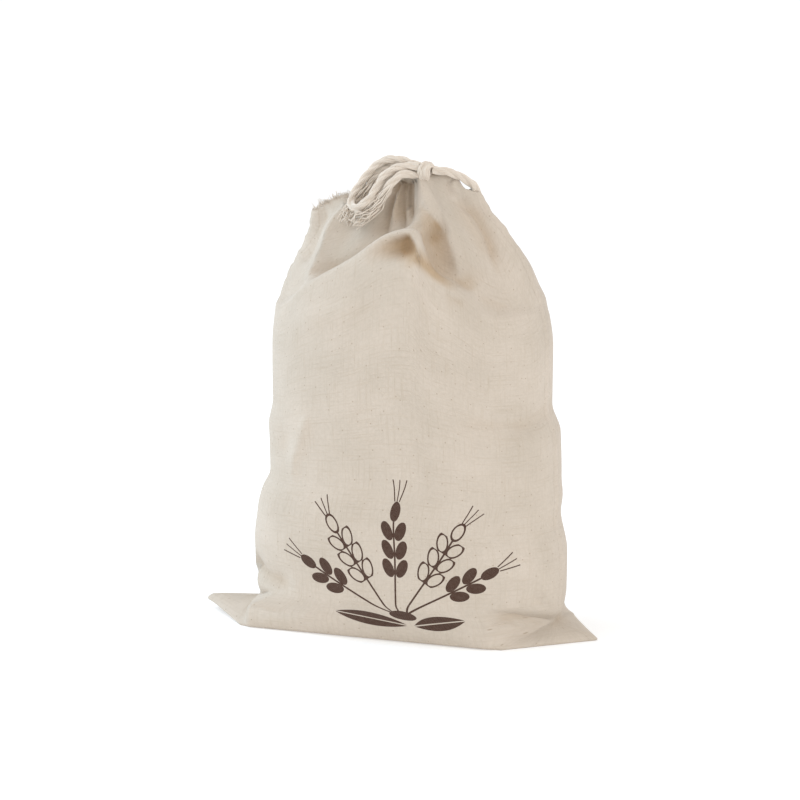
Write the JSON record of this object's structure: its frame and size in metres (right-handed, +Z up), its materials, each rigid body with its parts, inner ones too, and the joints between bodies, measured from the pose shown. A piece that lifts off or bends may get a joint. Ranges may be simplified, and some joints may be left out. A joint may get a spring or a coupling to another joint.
{
  "type": "bread bag",
  "caption": "Drawstring bread bag of unbleached cotton, standing full on a flat base with two corner flaps, its pleated mouth drawn shut and tied with a knotted cord.",
  "frame": {"origin": "on the floor under the middle of the bag, the corner flaps of its base included", "axes": "+X to the right as the printed front is seen, +Y to the back, +Z up"},
  "size_m": [0.299, 0.139, 0.3377],
  "materials": {
    "calico": "unbleached plain-weave cotton with small seed flecks",
    "cord": "soft twisted cotton cord"
  },
  "bodies": {
    "root": {"bag_cloth": "calico", "knot": "cord", "drawstring_upper": "cord", "bow_loop": "cord", "tail_front": "cord", "tail_back": "cord"}
  },
  "joints": []
}
